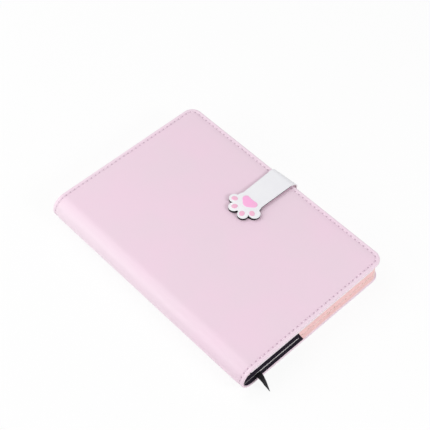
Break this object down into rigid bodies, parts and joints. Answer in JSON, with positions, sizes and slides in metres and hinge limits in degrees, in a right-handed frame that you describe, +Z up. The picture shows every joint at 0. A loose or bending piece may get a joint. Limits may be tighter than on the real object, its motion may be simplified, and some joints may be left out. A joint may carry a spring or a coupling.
{
  "type": "diary with strap clasp",
  "caption": "Padded hardcover diary with a round spine, stitched edges, a ribbon bookmark and a magnetic strap clasp shaped as an animal paw.",
  "frame": {"origin": "middle of the back cover's underside, on which the closed diary lies", "axes": "+X from the spine to the fore-edge, +Y from the tail to the head, +Z up through the front cover"},
  "size_m": [0.1506, 0.2235, 0.0263],
  "materials": {
    "cover_leather": "smooth padded imitation leather, soft sheen",
    "padding": "thin padding felt",
    "board": "grey board",
    "lining_paper": "matt endpaper",
    "page_paper": "cream leaves with coloured edges",
    "gauze": "open glued gauze",
    "ribbon": "satin ribbon",
    "thread": "twisted sewing thread",
    "strap_leather": "smooth white imitation leather",
    "strap_backing": "pink lining leather with a dark painted edge",
    "clasp_core": "dark dense foam",
    "pads": "soft pink rubber, satin",
    "magnet": "plated magnet disc",
    "keeper": "thin steel disc"
  },
  "bodies": {
    "back_cover": {"back_leather": "cover_leather", "back_foam": "padding", "back_board": "board", "back_lining": "lining_paper", "back_seam_thread": "thread", "strap_anchor": "strap_leather", "back_flyleaf": "lining_paper", "spine_gauze": "gauze", "ribbon_bookmark": "ribbon", "ribbon_tail": "ribbon", "section_1": "page_paper", "section_2": "page_paper", "section_3": "page_paper", "section_4": "page_paper", "section_5": "page_paper", "section_6": "page_paper", "section_7": "page_paper"},
    "spine": {"spine_leather": "cover_leather", "spine_card": "board"},
    "front_cover": {"front_leather": "cover_leather", "front_foam": "padding", "front_board": "board", "front_lining": "lining_paper", "front_seam_thread": "thread", "keeper_plate": "keeper"},
    "first_leaf": {"front_flyleaf": "lining_paper"},
    "first_section": {"section_9": "page_paper"},
    "second_section": {"section_8": "page_paper"},
    "strap_riser": {"strap_riser_face": "strap_leather", "strap_riser_backing": "strap_backing"},
    "strap_arm": {"strap_arm_face": "strap_leather", "strap_arm_backing": "strap_backing", "paw_core": "clasp_core", "clasp_magnet": "magnet", "main_pad": "pads", "toe_pads": "pads"}
  },
  "joints": [
    {"name": "spine_hinge", "type": "hinge", "parent": "back_cover", "child": "spine", "pos_m": [-0.07115, 0, 0.00345], "axis": [0, -1, 0], "range_deg": [0, 90]},
    {"name": "front_hinge", "type": "hinge", "parent": "spine", "child": "front_cover", "pos_m": [-0.07115, 0, 0.02012], "axis": [0, -1, 0], "range_deg": [0, 90]},
    {"name": "first_leaf_turn", "type": "hinge", "parent": "back_cover", "child": "first_leaf", "pos_m": [-0.06564, 0, 0.02088], "axis": [0, -1, 0], "range_deg": [0, 90]},
    {"name": "first_section_turn", "type": "hinge", "parent": "back_cover", "child": "first_section", "pos_m": [-0.06564, 0, 0.02088], "axis": [0, -1, 0], "range_deg": [0, 90]},
    {"name": "second_section_turn", "type": "hinge", "parent": "back_cover", "child": "second_section", "pos_m": [-0.06564, 0, 0.02088], "axis": [0, -1, 0], "range_deg": [0, 90]},
    {"name": "strap_root_hinge", "type": "hinge", "parent": "back_cover", "child": "strap_riser", "pos_m": [0.0754, 0, 0.0011], "axis": [0, 1, 0], "range_deg": [0, 90]},
    {"name": "strap_fold_hinge", "type": "hinge", "parent": "strap_riser", "child": "strap_arm", "pos_m": [0.07538, 0, 0.0253], "axis": [0, 1, 0], "range_deg": [0, 90]}
  ],
  "couplings": [
    {"joint": "first_leaf_turn", "follows": "front_hinge", "ratio": 0.97},
    {"joint": "first_section_turn", "follows": "front_hinge", "ratio": 0.92},
    {"joint": "second_section_turn", "follows": "front_hinge", "ratio": 0.88}
  ]
}
